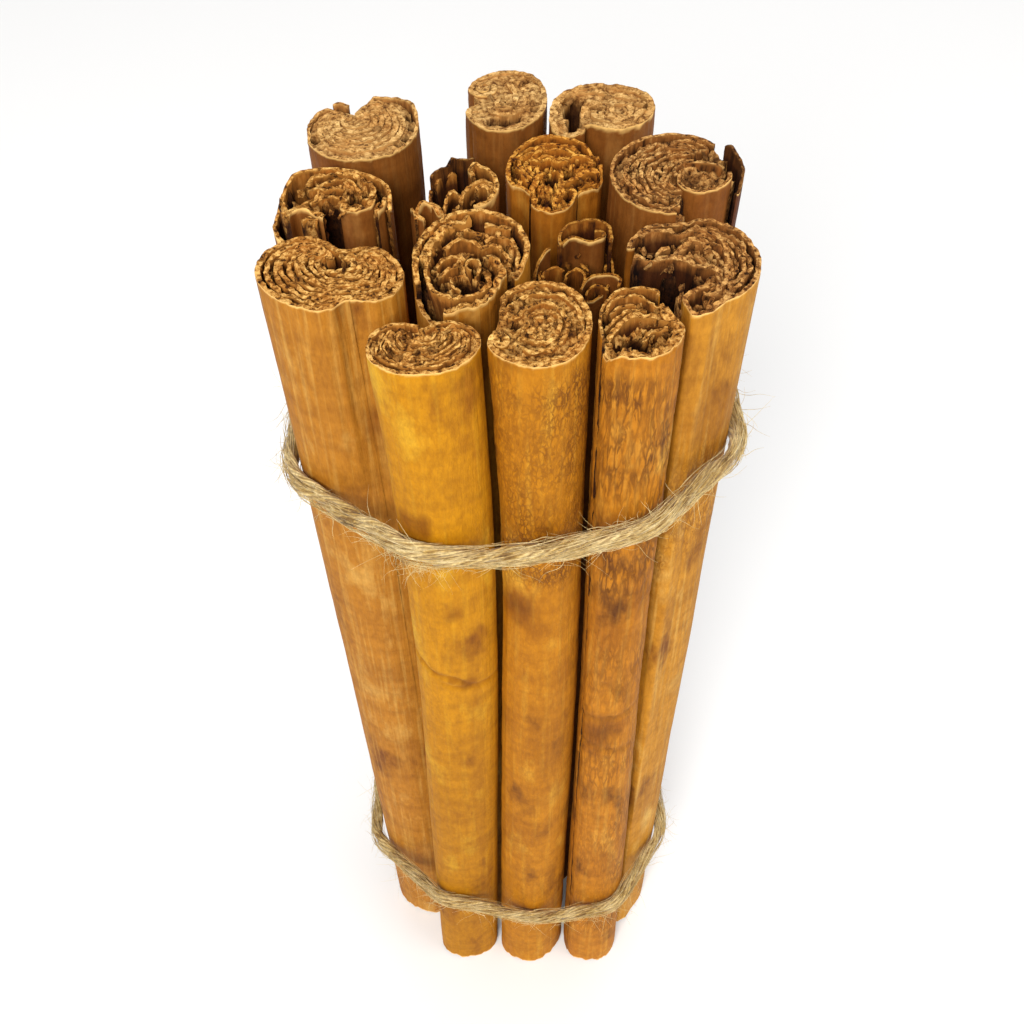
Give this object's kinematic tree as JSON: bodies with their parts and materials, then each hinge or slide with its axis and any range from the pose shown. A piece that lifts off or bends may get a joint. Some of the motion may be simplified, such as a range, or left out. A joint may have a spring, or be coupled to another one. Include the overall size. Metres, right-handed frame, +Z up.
{
  "type": "cinnamon stick bundle",
  "caption": "Round bundle of long rolled cinnamon bark quills standing on their cut ends, tied near the top and near the foot with loops of jute twine.",
  "frame": {"origin": "middle of the bundle's box, on the plane of the quills' cut lower ends", "axes": "+Z up along the quills, +X to the right and -Y to the front of the bundle, with the twine's knots at +Y"},
  "size_m": [0.0542, 0.0566, 0.15],
  "materials": {
    "bark_tan": "matt rolled bark, orange tan with pale lengthwise lines",
    "bark_ochre": "matt smooth bark, yellow ochre",
    "bark_brown": "matt rolled bark, dull brown",
    "jute": "hairy straw-coloured two-ply jute twine"
  },
  "bodies": {
    "root": {"quill_left_front": "bark_tan", "quill_front_left": "bark_ochre", "quill_front": "bark_tan", "quill_front_right": "bark_brown", "quill_right_front": "bark_tan", "quill_left": "bark_brown", "quill_right": "bark_brown", "quill_back_left": "bark_brown", "quill_back": "bark_brown", "quill_back_right": "bark_brown", "quill_inner_front": "bark_tan", "quill_inner_left": "bark_brown", "quill_inner_right": "bark_brown", "quill_inner_back": "bark_brown", "twine_upper": "jute", "twine_lower": "jute"}
  },
  "joints": []
}
